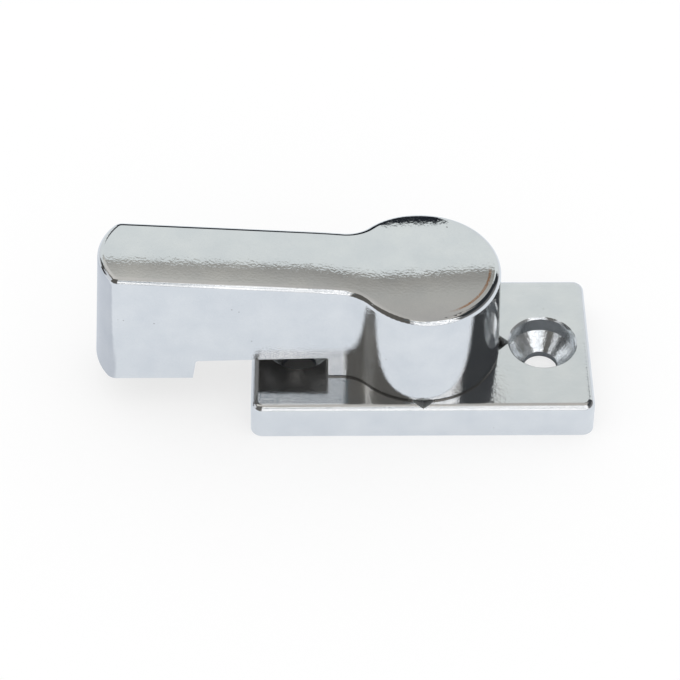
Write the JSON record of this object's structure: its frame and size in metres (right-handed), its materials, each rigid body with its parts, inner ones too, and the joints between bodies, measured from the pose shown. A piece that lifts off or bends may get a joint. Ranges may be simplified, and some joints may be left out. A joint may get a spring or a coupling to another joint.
{
  "type": "door turn button",
  "caption": "Chromed turn button: a keyhole-shaped lever with a stepped heel that turns on a rectangular plate with countersunk screw holes.",
  "frame": {"origin": "where the pivot axis meets the plate's flat mounting face", "axes": "+Z out of the mounting face along the pivot axis, X along the plate's long side, and at rest the lever's arm points to -X"},
  "size_m": [0.0649, 0.0232, 0.0227],
  "materials": {
    "plate": "polished",
    "lever": "polished",
    "screw": "zinc plated",
    "washer": "zinc plated",
    "spring": "hardened"
  },
  "bodies": {
    "base": {"base_plate": "plate"},
    "lever": {"turn_lever": "lever", "pivot_screw": "screw", "retaining_washer": "washer", "detent_spring": "spring"}
  },
  "joints": [
    {"name": "turn", "type": "hinge", "parent": "base", "child": "lever", "pos_m": [0, 0, 0], "axis": [0, 0, 1], "continuous": true, "deforming": ["detent_spring"]}
  ]
}
